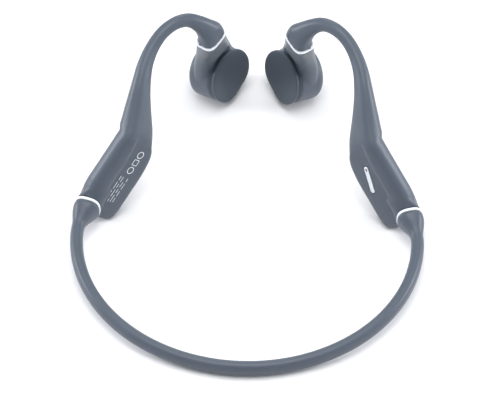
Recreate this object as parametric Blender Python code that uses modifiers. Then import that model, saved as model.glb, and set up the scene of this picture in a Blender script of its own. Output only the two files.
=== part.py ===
"""Bone conduction headphones: a sprung neckband, two housings behind the ears, two ear hooks and two pods.

Metres, +Z up. +X is the wearer's right, +Y is forward, and the headphones lie on the plane Z = 0 at rest.
Both arms are drawn once, for the right side, and the left side is its mirror image across X = 0.
"""

import math

import bmesh
import bpy
from mathutils import Matrix, Vector

MM = 0.001
TAU = 2 * math.pi

# ---- neckband: a flat half loop, tilted up towards the front ----
BACK_Y = -71.3 * MM  # where the loop's centre line crosses X = 0, behind the origin
BACK_Z = 3.2 * MM  # height of the centre line there
TILT = math.radians(5.6)  # how far the loop's plane rises towards the front
LOOP_HALF_WIDTH = 61.5 * MM
LOOP_DEPTH_BACK = 54.6 * MM  # from the back to the widest point
LOOP_DEPTH_FRONT = 38.2 * MM  # half axis of the ellipse in front of the widest point
BOOT_ANGLE = math.radians(18.3)  # where the loop meets the boot ring, past the widest point
HINGE_ANGLE = math.radians(-36.0)  # where the sprung loop is split, behind the widest point
SLEEVE_HALF_WIDE = 2.35 * MM
SLEEVE_HALF_TALL = 2.9 * MM
SLEEVE_SQUARENESS = 2.2
BOOT_LENGTH = 8.6 * MM  # how much of the sleeve flares into the boot
BOOT_HALF_WIDE = 4.7 * MM
BOOT_HALF_TALL = 5.4 * MM
BOOT_SQUARENESS = 2.7
BOOT_SKEW = math.radians(12.0)  # how far the boot's end turns towards straight ahead
BOOT_SEAT_SPAN = math.radians(24.0)  # how much of the loop the housing keeps clear of
SPLIT_GAP = 0.4 * MM

# ---- housing: a slab behind the ear ----
SLAB_FOOT_ALONG = 2.18 * MM  # where the slab's axis starts, from the boot ring along the slab
SLAB_FOOT_BACK = -4.38 * MM
SLAB_FOOT_IN = -1.87 * MM
SLAB_RISE = math.radians(43.0)  # how steeply the slab climbs
SLAB_TOE_IN = math.radians(46.0)  # how far it turns inwards from straight ahead
SLAB_ROLL = math.radians(12.0)  # how far its inner face leans back, to look a little upwards
SLAB_LENGTH = 29.0 * MM
SLAB_HALF_WIDTH = 9.4 * MM
SLAB_HALF_THICK = 4.7 * MM
SLAB_SQUARENESS = 3.6
CHIN_DROP = 4.0 * MM  # how far the rounded lower end reaches below the foot
CHIN_SHIFT = 3.4 * MM  # how far that end lies towards the front edge
SLAB_FACE = 0.86  # share of the half thickness where the inner face is cut flat
HOUSING_WALL = 1.2 * MM
COVER_THICK = 1.1 * MM
FIT_GAP = 0.3 * MM
# how the slab's lower end closes: share of the chin's drop and shift, and of the slab's half sizes
CHIN_SHAPE = (
    (-1.0, 1.0, 0.22, 0.3),
    (-0.84, 0.94, 0.46, 0.62),
    (-0.45, 0.72, 0.67, 0.83),
    (0.2, 0.38, 0.86, 0.95),
    (1.1, 0.08, 0.97, 1.0),
    (2.2, 0.0, 1.0, 1.0),
)
# how the slab's front edge draws back towards its top: share of the length, and how far in mm
SHOULDER = ((0.6, 0.1), (0.82, 1.1), (0.93, 2.6), (1.0, 4.4))
SHOULDER_BACK = SHOULDER[-1][1] / 2 * MM  # how far the middle of the slab's top lies towards its back edge
# the collar behind the boot ring ends inside the slab: its place along and across it, and its half sizes
COLLAR_ALONG = 9.0 * MM
COLLAR_BACK = 4.2 * MM
COLLAR_HALF_WIDE = 4.8 * MM
COLLAR_HALF_TALL = 3.9 * MM
# the cover's window runs between these two distances along the slab
WINDOW_LOW = 5.4 * MM
WINDOW_HIGH = SLAB_LENGTH - 4.0 * MM
WINDOW_CENTRE = (WINDOW_LOW + WINDOW_HIGH) / 2
WINDOW_HALF_LENGTH = (WINDOW_HIGH - WINDOW_LOW) / 2
WINDOW_BACK = -1.1 * MM
WINDOW_HALF_WIDTH = 5.6 * MM
WINDOW_SQUARENESS = 3.4

# ---- ear hook: a tube of changing section from the slab's top to the pod ----
RING_THICK = 1.1 * MM
# the centre from the slab's top in mm, half width, half thickness, squareness, and the inner side's heading
HOOK_STATIONS = (
    (1.2, 3.2, 4.8, 6.6, 4.5, 2.7, 45),
    (0.8, 6.8, 8.6, 5.7, 4.2, 2.3, 50),
    (0.3, 10.4, 12.4, 4.9, 3.7, 2.1, 56),
    (-0.4, 14.4, 16.2, 4.1, 3.2, 2.0, 60),
    (-1.5, 19.0, 19.7, 3.3, 2.8, 2.0, 60),
    (-3.7, 24.0, 22.8, 2.7, 2.5, 2.0, 60),
    (-7.0, 28.6, 25.5, 2.4, 2.4, 2.0, 58),
    (-11.3, 32.4, 26.7, 2.4, 2.4, 2.0, 56),
    (-15.7, 35.1, 25.8, 2.6, 2.5, 2.0, 56),
    (-19.4, 36.0, 23.4, 3.0, 2.7, 2.2, 56),
    (-22.2, 36.3, 20.4, 3.9, 3.2, 2.5, 56),
    (-23.6, 36.4, 18.1, 4.9, 3.8, 2.9, 56),
    (-24.1, 36.3, 15.9, 5.4, 4.1, 3.2, 56),
)
SEAM_HEADING = Vector((-0.1, 0.12, -0.99)).normalized()  # the way the hook runs where it meets the pod
SEAM_OFFSET = (-24.2, 36.4, 15.0)  # the white ring above the pod, from the slab's top in mm

# ---- pod: a drum that carries the vibrating pad, hung from the hook ----
PAD_OFFSET = (-7.5, 8.6, -31.1)  # middle of the pad's face, from that ring in mm
PAD_TURN = math.radians(35.0)  # how far the pad looks back from straight inwards
PAD_LOOK_UP = math.radians(16.0)
PAD_RADIUS = 10.4 * MM
PAD_FLAT = 0.27  # how much the pod's lower front edge is flattened, as a share of the radius
PAD_FLAT_AT = math.radians(250.0)
PAD_FLAT_SPREAD = math.radians(45.0)
PAD_THICK = 1.5 * MM
PAD_TRAVEL_GAP = 0.45 * MM
PAD_SIDE_GAP = 0.4 * MM
DRUM_DEPTH = 11.6 * MM
DRUM_RADIUS = 10.3 * MM
DRUM_FACE_RADIUS = 7.7 * MM
DRUM_BORE = 8.7 * MM
DRUM_FLOOR = 1.3 * MM
DRUM_LIP = 0.9 * MM  # how much narrower the drum's front lip is
DRUM_LIP_ENDS = 0.7 * MM  # where the lip ends behind the front, and where the full radius starts
DRUM_FULL_FROM = 1.3 * MM
SEAT_REACH = 6.0 * MM  # how far in front of the pad the neck is cut clear
# the neck between the white ring and the drum: how far above the pad's middle and across it, half width,
# how far behind the pad's face its front and its back lie, all in mm, and squareness
NECK_STATIONS = (
    (17.5, 4.6, 6.9, -3.2, 5.4, 2.9),
    (10.5, 1.6, 8.4, 1.0, 9.8, 2.7),
    (2.0, 0.0, 9.9, 2.4, 13.0, 2.5),
)
POD_WAY_DEPTH = 6.0 * MM  # where the cable's way into the pod ends, behind the pad's face

# ---- what is inside ----
WIRE_RADIUS = 0.5 * MM
CABLE_RADIUS = 0.4 * MM
WIRE_CLEARANCE = 0.22 * MM
# the sleeves' bores and the wider ways through the rings hold the wire beside the cable, with room to move
HOOK_BORE = 2 * WIRE_RADIUS + WIRE_CLEARANCE + 0.28 * MM
SLEEVE_BORE = 2 * WIRE_RADIUS + WIRE_CLEARANCE + 0.33 * MM
PASSAGE = 2 * WIRE_RADIUS + WIRE_CLEARANCE + 0.83 * MM
LAYER_LOW = 3.1 * MM  # lower end of the battery and the main board along the slab
LAYER_LENGTH = SLAB_LENGTH - 10.0 * MM
LAYER_PLACE = LAYER_LOW + LAYER_LENGTH / 2
LAYER_BACK = -1.2 * MM  # battery and boards lie towards the front edge, and the wires pass behind them
BATTERY = (LAYER_LENGTH, 9.2 * MM, 3.6 * MM)
BATTERY_DEPTH = -0.7 * MM  # middle of the battery, from the slab's middle towards the head
BATTERY_BOARD = (LAYER_LENGTH - 3.0 * MM, 8.0 * MM, 0.6 * MM)
BOARD = (LAYER_LENGTH, 8.6 * MM, 0.8 * MM)
BOARD_DEPTH = -1.6 * MM
ANTENNA = (5.0 * MM, 8.0 * MM, 0.8 * MM)
SHIELD = (LAYER_LENGTH - ANTENNA[0] - 6.0 * MM, 7.0 * MM, 1.6 * MM)
SHIELD_PLACE = LAYER_LOW + SHIELD[0] / 2
ANTENNA_PLACE = LAYER_LOW + LAYER_LENGTH - 5.6 * MM
WIRE_BACK = 6.0 * MM
ANCHOR_LOW = 8.5 * MM  # where the sprung wires end, along the slab
ANCHOR_HIGH = SLAB_LENGTH - 10.5 * MM
ANCHOR_WIDTH = 1.8 * MM
ANCHOR_THICK = 2.6 * MM
WIRE_INTO_SLAB = 2.2 * MM  # how far the loop's wires run straight on past the boot
WIRE_APPROACH = (4.6 * MM, 5.0 * MM, -0.6 * MM)  # where they turn up the slab
WIRE_TURN_IN = (SLAB_LENGTH - 7.0 * MM, 4.5 * MM)  # where the hook's wires leave the back edge
WIRE_LEAVE = SLAB_LENGTH - 4.1 * MM
CABLE_IN = 1.7 * MM  # the cables run beside the anchor, nearer the head
CABLE_BACK = 0.6 * MM
CABLE_STEP = WIRE_RADIUS + CABLE_RADIUS + 0.4 * MM
CABLE_INTO_POD = 1.5 * MM
CARRIER_RADIUS = 5.9 * MM
CARRIER_THICK = 1.0 * MM
COIL_OUTER = 4.2 * MM
COIL_INNER = 3.5 * MM
COIL_LENGTH = 3.2 * MM
MAGNET_RADIUS = 3.1 * MM
MAGNET_THICK = 2.6 * MM
YOKE_RADIUS = 5.9 * MM
YOKE_BORE = 4.6 * MM
YOKE_DEPTH = 4.6 * MM
YOKE_FLOOR = 1.3 * MM
YOKE_HOLE = 0.7 * MM
FLEXURE_THICK = 0.3 * MM
BUTTON_BOARD = (8.0 * MM, 6.0 * MM, 0.6 * MM)
SWITCH_WIDTH = 3.4 * MM
SWITCH_GAP = 0.55 * MM  # room behind the multifunction button for its travel

# ---- controls and contacts ----
BUTTON_LENGTH = 6.4 * MM
BUTTON_WIDTH = 3.0 * MM
BUTTON_HEIGHT = 1.7 * MM
BUTTON_PROUD = 0.5 * MM
BUTTON_SPACING = 8.6 * MM
VOLUME_UP_PLACE = SLAB_LENGTH - 10.4 * MM  # along the slab
VOLUME_DOWN_PLACE = VOLUME_UP_PLACE - BUTTON_SPACING
POD_BUTTON_RADIUS = 5.2 * MM
POD_BUTTON_HEIGHT = 1.9 * MM
STRIP_PLACE = WINDOW_CENTRE + 2.1 * MM
STRIP_BACK = -1.5 * MM
STRIP_LENGTH = 2 * WINDOW_HALF_LENGTH - 8.7 * MM
STRIP_TURN = math.radians(20.0)  # how far the strip turns from the slab's axis towards its back edge
STRIP_WIDTH = 2.0 * MM
STRIP_THICK = 0.8 * MM
STRIP_PROUD = 0.05 * MM
CHARGING_MAGNETS = (STRIP_LENGTH - 2.5 * MM, 1.8 * MM, 1.2 * MM)
CUT_DEPTH = 4.6 * MM  # how far the cutters of the buttons and the strip reach

ROUND_SEGMENTS = 20
SECTION_POINTS = 16
SLAB_POINTS = 28
POD_POINTS = 28


def clear_scene():
    for item in list(bpy.data.objects):
        bpy.data.objects.remove(item, do_unlink=True)


def new_collection(name):
    made = bpy.data.collections.new(name)
    bpy.context.scene.collection.children.link(made)
    return made


def new_material(name, colour, roughness, metallic=0.0):
    made = bpy.data.materials.new(name)
    made.use_nodes = True
    shader = made.node_tree.nodes["Principled BSDF"]
    shader.inputs["Base Color"].default_value = (*colour, 1.0)
    shader.inputs["Roughness"].default_value = roughness
    shader.inputs["Metallic"].default_value = metallic
    return made


clear_scene()
parts = new_collection("bone_conduction_headphones")
cutters = new_collection("cutters")

SILICONE = new_material("slate silicone", (0.145, 0.173, 0.214), 0.55)
PAD_SKIN = new_material("dark silicone", (0.082, 0.105, 0.127), 0.6)
WHITE = new_material("white polycarbonate", (0.82, 0.86, 0.9), 0.35)
TITANIUM = new_material("sprung titanium", (0.5, 0.49, 0.47), 0.3, 1.0)
COPPER = new_material("enamelled copper", (0.6, 0.28, 0.14), 0.35, 1.0)
STEEL = new_material("plated steel", (0.6, 0.6, 0.6), 0.3, 1.0)
PLASTIC = new_material("black plastic", (0.03, 0.03, 0.035), 0.5)
CABLE_SKIN = new_material("cable jacket", (0.05, 0.05, 0.055), 0.45)
BOARD_GREEN = new_material("circuit board", (0.03, 0.12, 0.06), 0.4)
FOIL = new_material("battery foil", (0.55, 0.55, 0.57), 0.35, 0.8)
SILVER = new_material("satin silver", (0.75, 0.77, 0.8), 0.25, 1.0)


def finish(item, material, collection=None):
    """Put a made object in its collection with its material and smooth shading."""
    for held in list(item.users_collection):
        held.objects.unlink(item)
    (collection or parts).objects.link(item)
    item.data.materials.clear()
    item.data.materials.append(material)
    if item.type == "MESH":
        item.data.shade_smooth()
        item.data.set_sharp_from_angle(angle=math.radians(35))
    if collection is cutters:
        item.hide_render = True
        item.display_type = "WIRE"
    return item


def mesh_object(name, form):
    data = bpy.data.meshes.new(name)
    bmesh.ops.recalc_face_normals(form, faces=form.faces)
    form.to_mesh(data)
    form.free()
    item = bpy.data.objects.new(name, data)
    bpy.context.scene.collection.objects.link(item)
    return item


def loft(name, rings, material, bore=None, collection=None):
    """A closed skin through rings of points: a tube if it has a bore, and otherwise with filled ends."""
    form = bmesh.new()

    def skin(sections):
        rows = [[form.verts.new(point) for point in ring] for ring in sections]
        for row, following in zip(rows, rows[1:]):
            for i in range(len(row)):
                j = (i + 1) % len(row)
                form.faces.new((row[i], row[j], following[j], following[i]))
        return rows

    outside = skin(rings)
    if bore:
        inside = skin(bore)
        for row, hole in ((outside[0], inside[0]), (outside[-1], inside[-1])):
            for i in range(len(row)):
                j = (i + 1) % len(row)
                form.faces.new((row[i], row[j], hole[j], hole[i]))
    else:
        form.faces.new(outside[0])
        form.faces.new(outside[-1])
    return finish(mesh_object(name, form), material, collection)


def section(centre, across, through, half_wide, half_tall, squareness=2.0, face=1.0, count=SECTION_POINTS):
    """Points of a superellipse: squareness 2 is an ellipse, and a face under 1 cuts one side flat."""
    power = 2.0 / squareness
    points = []
    for k in range(count):
        turn = TAU * k / count
        c, s = math.cos(turn), math.sin(turn)
        a = math.copysign(abs(c) ** power, c) * half_wide
        t = min(math.copysign(abs(s) ** power, s), face) * half_tall
        points.append(centre + across * a + through * t)
    return points


def placed(item, centre, x_axis, y_axis, z_axis):
    """Stand an object at centre with its own axes along the given directions."""
    turn = Matrix((x_axis, y_axis, z_axis)).transposed().to_4x4()
    item.matrix_world = Matrix.Translation(centre) @ turn
    return item


def bevel(item, width):
    rounding = item.modifiers.new("edge", "BEVEL")
    rounding.width = width
    rounding.segments = 2
    rounding.limit_method = "ANGLE"


def block(name, centre, axes, size, material, edge=0.0):
    """A box whose length, width and height run along the three axes."""
    form = bmesh.new()
    bmesh.ops.create_cube(form, size=1.0)
    bmesh.ops.scale(form, vec=size, verts=form.verts)
    item = placed(finish(mesh_object(name, form), material), centre, *axes)
    if edge:
        bevel(item, edge)
    return item


def disc(name, centre, axes, radius, depth, material, collection=None):
    """A cylinder whose axis is the third of the axes."""
    form = bmesh.new()
    bmesh.ops.create_cone(
        form, cap_ends=True, segments=ROUND_SEGMENTS, radius1=radius, radius2=radius, depth=depth
    )
    return placed(finish(mesh_object(name, form), material, collection), centre, *axes)


def turned(name, centre, axes, profile, material):
    """A ring turned about the third of the axes from a closed profile of (radius, height)."""
    form = bmesh.new()
    rows = []
    for k in range(ROUND_SEGMENTS):
        turn = TAU * k / ROUND_SEGMENTS
        rows.append([form.verts.new((r * math.cos(turn), r * math.sin(turn), h)) for r, h in profile])
    for k, row in enumerate(rows):
        following = rows[(k + 1) % ROUND_SEGMENTS]
        for i in range(len(row)):
            j = (i + 1) % len(row)
            form.faces.new((row[i], row[j], following[j], following[i]))
    item = finish(mesh_object(name, form), material)
    return placed(item, centre, *axes)


def stadium(name, centre, axes, length, width, depth, material, collection=None):
    """A round-ended bar: its length along the first axis and its depth along the third."""
    form = bmesh.new()
    radius = width / 2
    run = length / 2 - radius
    outline = []
    for end in (1, -1):
        for k in range(9):
            turn = math.pi * k / 8 - math.pi / 2
            outline.append((end * (run + radius * math.cos(turn)), end * radius * math.sin(turn)))
    rows = [[form.verts.new((x, y, z)) for x, y in outline] for z in (-depth / 2, depth / 2)]
    for i in range(len(outline)):
        j = (i + 1) % len(outline)
        form.faces.new((rows[0][i], rows[0][j], rows[1][j], rows[1][i]))
    form.faces.new(rows[0])
    form.faces.new(rows[1])
    item = finish(mesh_object(name, form), material, collection)
    return placed(item, centre, *axes)


def wire(name, points, radius, material):
    """A round wire along a chain of points, with filled ends."""
    curve = bpy.data.curves.new(name, "CURVE")
    curve.dimensions = "3D"
    curve.bevel_depth = radius
    curve.bevel_resolution = 2
    curve.use_fill_caps = True
    spline = curve.splines.new("POLY")
    spline.points.add(len(points) - 1)
    for knot, point in zip(spline.points, points):
        knot.co = (*point, 1.0)
    item = bpy.data.objects.new(name, curve)
    bpy.context.scene.collection.objects.link(item)
    return finish(item, material)


def cut(item, cutter, operation="DIFFERENCE"):
    boolean = item.modifiers.new(operation.lower(), "BOOLEAN")
    boolean.operation = operation
    boolean.object = cutter
    return item


def loop_point(angle):
    """A point of the neckband's centre line on the right, and the direction of travel there."""
    depth = LOOP_DEPTH_BACK if angle < 0 else LOOP_DEPTH_FRONT
    along = LOOP_DEPTH_BACK + depth * math.sin(angle)
    centre = Vector(
        (LOOP_HALF_WIDTH * math.cos(angle), BACK_Y + along * math.cos(TILT), BACK_Z + along * math.sin(TILT))
    )
    slope = depth * math.cos(angle)
    heading = Vector((-LOOP_HALF_WIDTH * math.sin(angle), slope * math.cos(TILT), slope * math.sin(TILT)))
    return centre, heading.normalized()


LOOP_NORMAL = Vector((0.0, -math.sin(TILT), math.cos(TILT)))


def mirrored(points, side):
    return [Vector((side * p.x, p.y, p.z)) for p in points]


def mirrored_axes(axes, side):
    """The axes as seen in the mirror, kept right-handed by turning the first one round."""
    x_axis, y_axis, z_axis = mirrored(axes, side)
    return (x_axis * side, y_axis, z_axis)


def sleeve_frame(angle):
    """The loop's centre, heading and sideways direction, turned near the boot, and how far it flares."""
    centre, heading = loop_point(angle)
    end = loop_point(BOOT_ANGLE)[0]
    left = max(0.0, 1 - (end - centre).length / BOOT_LENGTH)
    flare = left * left * (3 - 2 * left)
    heading = Matrix.Rotation(-BOOT_SKEW * flare, 3, LOOP_NORMAL) @ heading
    return centre, heading, heading.cross(LOOP_NORMAL), flare


# the slab's own directions on the right: along it, through it to the inner side, and across to its back edge
TOE_HEADING = Vector((-math.sin(SLAB_TOE_IN), math.cos(SLAB_TOE_IN), 0.0))
SLAB_ALONG = TOE_HEADING * math.cos(SLAB_RISE) + Vector((0.0, 0.0, math.sin(SLAB_RISE)))
UPRIGHT_IN = Vector((-math.cos(SLAB_TOE_IN), -math.sin(SLAB_TOE_IN), 0.0))
SLAB_IN = UPRIGHT_IN * math.cos(SLAB_ROLL) + SLAB_ALONG.cross(UPRIGHT_IN) * math.sin(SLAB_ROLL)
SLAB_BACK = SLAB_ALONG.cross(SLAB_IN)
SLAB_AXES = (SLAB_ALONG, SLAB_BACK, SLAB_IN)


def slab_point(along, back=0.0, inwards=0.0):
    """A point of the right slab: up its length, towards its back edge, and towards the head."""
    along += SLAB_FOOT_ALONG
    back += SLAB_FOOT_BACK
    inwards += SLAB_FOOT_IN
    return loop_point(BOOT_ANGLE)[0] + SLAB_ALONG * along + SLAB_BACK * back + SLAB_IN * inwards


def offset_from(origin, place):
    """A point given by its first three numbers in mm from an origin."""
    return origin + Vector(place[:3]) * MM


SLAB_TOP = slab_point(SLAB_LENGTH)
SEAM_CENTRE = offset_from(SLAB_TOP, SEAM_OFFSET)
PAD_CENTRE = offset_from(SEAM_CENTRE, PAD_OFFSET)


def slab_section(centre, half_width, half_thick):
    half_sizes = (half_width, half_thick)
    return section(centre, SLAB_BACK, SLAB_IN, *half_sizes, SLAB_SQUARENESS, SLAB_FACE, SLAB_POINTS)


def slab_rings(inset, first, last):
    """Rings of the slab's outline, drawn in by the inset, between two distances along it."""
    rows = []
    for drop, shift, width, thick in CHIN_SHAPE:
        sizes = (width * SLAB_HALF_WIDTH, thick * SLAB_HALF_THICK)
        rows.append((drop * CHIN_DROP, -shift * CHIN_SHIFT, *sizes))
    for share, drawn in SHOULDER:
        back = drawn / 2 * MM
        rows.append((SLAB_LENGTH * share, back, SLAB_HALF_WIDTH - back, SLAB_HALF_THICK))
    rings = []
    for along, back, half_width, half_thick in rows:
        if not first <= along <= last:
            continue
        half_width = max(half_width - inset, 0.4 * MM)
        half_thick = max(half_thick - inset, 0.3 * MM)
        centre = slab_point(along, back)
        rings.append(slab_section(centre, half_width, half_thick))
    return rings


def hook_frames(origin, stations):
    """Centre, direction, across and through, half sizes and squareness at each station."""
    centres = [offset_from(origin, row) for row in stations]
    frames = []
    for i, row in enumerate(stations):
        before = centres[max(i - 1, 0)]
        after = centres[min(i + 1, len(stations) - 1)]
        ahead = (after - before).normalized()
        heading = math.radians(row[6])
        inwards = Vector((-math.sin(heading), -math.cos(heading), 0.0))
        inwards = (inwards - ahead * inwards.dot(ahead)).normalized()
        across = ahead.cross(inwards)
        frames.append((centres[i], ahead, across, inwards, row[3] * MM, row[4] * MM, row[5]))
    return frames


def hook_rings(frames):
    return [section(c, across, inwards, w, t, q) for c, _, across, inwards, w, t, q in frames]


def bore_rings(frames, radius):
    return [section(c, across, inwards, radius, radius) for c, _, across, inwards, _, _, _ in frames]


def neckband_sleeve():
    share = [k / 10 for k in range(11)]
    span = [HINGE_ANGLE * (1 - k) - math.pi / 2 * k for k in share]
    right = [loop_point(angle) for angle in span]
    gap = right[0][1] * (SPLIT_GAP / 2)
    right[0] = (right[0][0] - gap, right[0][1])
    outer = []
    bore = []
    for centre, heading in right:
        sideways = heading.cross(LOOP_NORMAL)
        half_sizes = (SLEEVE_HALF_WIDE, SLEEVE_HALF_TALL)
        outer.append(section(centre, sideways, LOOP_NORMAL, *half_sizes, SLEEVE_SQUARENESS))
        bore.append(section(centre, sideways, LOOP_NORMAL, SLEEVE_BORE, SLEEVE_BORE))

    def both(rings):
        return rings + [mirrored(ring, -1) for ring in rings[-2::-1]]

    loft("neckband_sleeve", both(outer), SILICONE, bore=both(bore))
    centres = [c for c, _ in right]
    line = centres + [Vector((-c.x, c.y, c.z)) for c in centres[-2::-1]]
    lift = LOOP_NORMAL * (WIRE_RADIUS + WIRE_CLEARANCE)
    wire("neckband_wire", [p - lift for p in line], WIRE_RADIUS, TITANIUM)
    lift = LOOP_NORMAL * (CABLE_RADIUS + WIRE_CLEARANCE)
    wire("neckband_cable", [p + lift for p in line], CABLE_RADIUS, CABLE_SKIN)


def side_sleeve(side, prefix):
    """The loop's side from the split to the boot ring, flaring into the boot."""
    count = 12
    outer = []
    bore = []
    centres = []
    for k in range(count + 1):
        angle = HINGE_ANGLE + (BOOT_ANGLE - HINGE_ANGLE) * k / count
        centre, heading, sideways, flare = sleeve_frame(angle)
        if k == 0:
            centre = centre + heading * (SPLIT_GAP / 2)
        wide = SLEEVE_HALF_WIDE + (BOOT_HALF_WIDE - SLEEVE_HALF_WIDE) * flare
        tall = SLEEVE_HALF_TALL + (BOOT_HALF_TALL - SLEEVE_HALF_TALL) * flare
        squareness = SLEEVE_SQUARENESS + (BOOT_SQUARENESS - SLEEVE_SQUARENESS) * flare
        outer.append(mirrored(section(centre, sideways, LOOP_NORMAL, wide, tall, squareness), side))
        bore.append(mirrored(section(centre, sideways, LOOP_NORMAL, SLEEVE_BORE, SLEEVE_BORE), side))
        centres.append(centre)
    loft(prefix + "side_sleeve", outer, SILICONE, bore=bore)
    return centres


def boot_ring(side, prefix):
    centre, heading, sideways, _ = sleeve_frame(BOOT_ANGLE)
    outer = []
    bore = []
    for step in (FIT_GAP, FIT_GAP + RING_THICK):
        at = centre + heading * step
        ring = section(at, sideways, LOOP_NORMAL, BOOT_HALF_WIDE, BOOT_HALF_TALL, BOOT_SQUARENESS)
        outer.append(mirrored(ring, side))
        bore.append(mirrored(section(at, sideways, LOOP_NORMAL, PASSAGE, PASSAGE), side))
    loft(prefix + "boot_ring", outer, WHITE, bore=bore)
    return centre + heading * (2 * FIT_GAP + RING_THICK), heading, sideways


def housing(side, prefix, ring_end, heading, sideways):
    """The slab's shell: hollow, open to the head behind its cover, with a seat for the boot."""
    outer = [mirrored(ring, side) for ring in slab_rings(0.0, -CHIN_DROP * 2, SLAB_LENGTH)]
    shell = loft(prefix + "housing_shell", outer, SILICONE)

    socket = []
    target = slab_point(COLLAR_ALONG, COLLAR_BACK)
    for share in (-0.1, 0.0, 0.35, 0.7, 1.0):
        at = ring_end + (target - ring_end) * share
        if share < 0:
            at = ring_end - heading * 2 * FIT_GAP
        share = max(share, 0.0)
        across = sideways.lerp(SLAB_BACK, share).normalized()
        through = LOOP_NORMAL.lerp(SLAB_IN, share)
        through = (through - across * through.dot(across)).normalized()
        wide = BOOT_HALF_WIDE + (COLLAR_HALF_WIDE - BOOT_HALF_WIDE) * share
        tall = BOOT_HALF_TALL + (COLLAR_HALF_TALL - BOOT_HALF_TALL) * share
        socket.append(mirrored(section(at, across, through, wide, tall, BOOT_SQUARENESS), side))
    cut(shell, loft(prefix + "socket", socket, SILICONE, collection=cutters), "UNION")

    seat = []
    frames = [sleeve_frame(BOOT_ANGLE - BOOT_SEAT_SPAN * (1 - k / 6)) for k in range(7)]
    frames.append((ring_end, heading, sideways, 1.0))
    for centre, _, across, _ in frames:
        half_sizes = (BOOT_HALF_WIDE + FIT_GAP, BOOT_HALF_TALL + FIT_GAP)
        seat.append(mirrored(section(centre, across, LOOP_NORMAL, *half_sizes, BOOT_SQUARENESS), side))
    cut(shell, loft(prefix + "seat", seat, SILICONE, collection=cutters))

    hollow = [mirrored(ring, side) for ring in slab_rings(HOUSING_WALL, -CHIN_DROP / 2, SLAB_LENGTH * 0.9)]
    cut(shell, loft(prefix + "hollow", hollow, SILICONE, collection=cutters))
    window = window_rings(side, FIT_GAP, -0.4 * MM, 3.0 * MM)
    cut(shell, loft(prefix + "window", window, SILICONE, collection=cutters))

    passage = []
    for at, across, through in (
        (ring_end - heading * 1.0 * MM, sideways, LOOP_NORMAL),
        (ring_end + heading * 2.0 * MM, sideways, LOOP_NORMAL),
        (slab_point(7.0 * MM, 3.6 * MM), SLAB_BACK, SLAB_IN),
    ):
        passage.append(mirrored(section(at, across, through, PASSAGE, PASSAGE), side))
    cut(shell, loft(prefix + "passage", passage, SILICONE, collection=cutters))

    top = []
    for along in (SLAB_LENGTH * 0.7, SLAB_LENGTH + 1.0 * MM):
        centre = slab_point(along, SHOULDER_BACK)
        top.append(mirrored(section(centre, SLAB_BACK, SLAB_IN, PASSAGE, PASSAGE), side))
    cut(shell, loft(prefix + "top_passage", top, SILICONE, collection=cutters))

    cover = loft(prefix + "housing_cover", window_rings(side, 0.0, 0.0, 0.0), SILICONE)
    return shell, cover


def window_rings(side, grow, below, above):
    """The cover's outline in the slab's inner face, grown all round and reaching past the cover."""
    face = SLAB_FACE * SLAB_HALF_THICK
    rings = []
    for inwards in (face - COVER_THICK + below, face + above):
        centre = slab_point(WINDOW_CENTRE, WINDOW_BACK, inwards)
        half_width = WINDOW_HALF_WIDTH + grow
        half_length = WINDOW_HALF_LENGTH + grow
        ring = section(centre, SLAB_ALONG, SLAB_BACK, half_length, half_width, WINDOW_SQUARENESS)
        rings.append(mirrored(ring, side))
    return rings


def hook(side, prefix):
    frames = hook_frames(SLAB_TOP, HOOK_STATIONS)
    width = SLAB_HALF_WIDTH - SHOULDER_BACK
    start = slab_point(SLAB_LENGTH + FIT_GAP, SHOULDER_BACK)
    frames.insert(0, (start, SLAB_ALONG, SLAB_BACK, SLAB_IN, width, SLAB_HALF_THICK, SLAB_SQUARENESS))
    frames[-1] = seam_frame(-FIT_GAP - RING_THICK / 2)
    outer = [mirrored(ring, side) for ring in hook_rings(frames)]
    top = section(start, SLAB_BACK, SLAB_IN, width, SLAB_HALF_THICK, SLAB_SQUARENESS, SLAB_FACE)
    outer[0] = mirrored(top, side)
    bore = [mirrored(ring, side) for ring in bore_rings(frames, HOOK_BORE)]
    loft(prefix + "hook_sleeve", outer, SILICONE, bore=bore)
    return frames


def seam_frame(step):
    """The hook's section at the white ring above the pod, moved along the hook by a step."""
    last = HOOK_STATIONS[-1]
    heading = math.radians(last[6])
    inwards = Vector((-math.sin(heading), -math.cos(heading), 0.0))
    inwards = (inwards - SEAM_HEADING * inwards.dot(SEAM_HEADING)).normalized()
    centre = SEAM_CENTRE + SEAM_HEADING * step
    return (centre, SEAM_HEADING, SEAM_HEADING.cross(inwards), inwards, last[3] * MM, last[4] * MM, last[5])


def pod_ring(side, prefix):
    frames = [seam_frame(-RING_THICK / 2), seam_frame(RING_THICK / 2)]
    outer = [mirrored(ring, side) for ring in hook_rings(frames)]
    bore = [mirrored(ring, side) for ring in bore_rings(frames, PASSAGE)]
    loft(prefix + "pod_ring", outer, WHITE, bore=bore)


PAD_LEVEL = Vector((-math.cos(PAD_TURN), -math.sin(PAD_TURN), 0.0))
PAD_LOOK = PAD_LEVEL * math.cos(PAD_LOOK_UP) + Vector((0.0, 0.0, math.sin(PAD_LOOK_UP)))
PAD_SIDEWAYS = Vector((0.0, 0.0, 1.0)).cross(PAD_LOOK).normalized()
PAD_AXES = (PAD_SIDEWAYS, PAD_LOOK.cross(PAD_SIDEWAYS), PAD_LOOK)


def pod_point(depth, across=0.0, up=0.0):
    """A point of the right pod: outwards from the pad's face, and across it."""
    return PAD_CENTRE - PAD_LOOK * depth + PAD_AXES[0] * across + PAD_AXES[1] * up


def pod_ring_of_points(depth, radius, side):
    """The pod's round outline at a depth, with its lower front edge flattened."""
    ring = []
    for k in range(POD_POINTS):
        turn = TAU * k / POD_POINTS
        away = (turn - PAD_FLAT_AT) / PAD_FLAT_SPREAD
        reach = radius * (1 - PAD_FLAT * math.exp(-away * away))
        ring.append(pod_point(depth, reach * math.cos(turn), reach * math.sin(turn)))
    return mirrored(ring, side)


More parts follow.
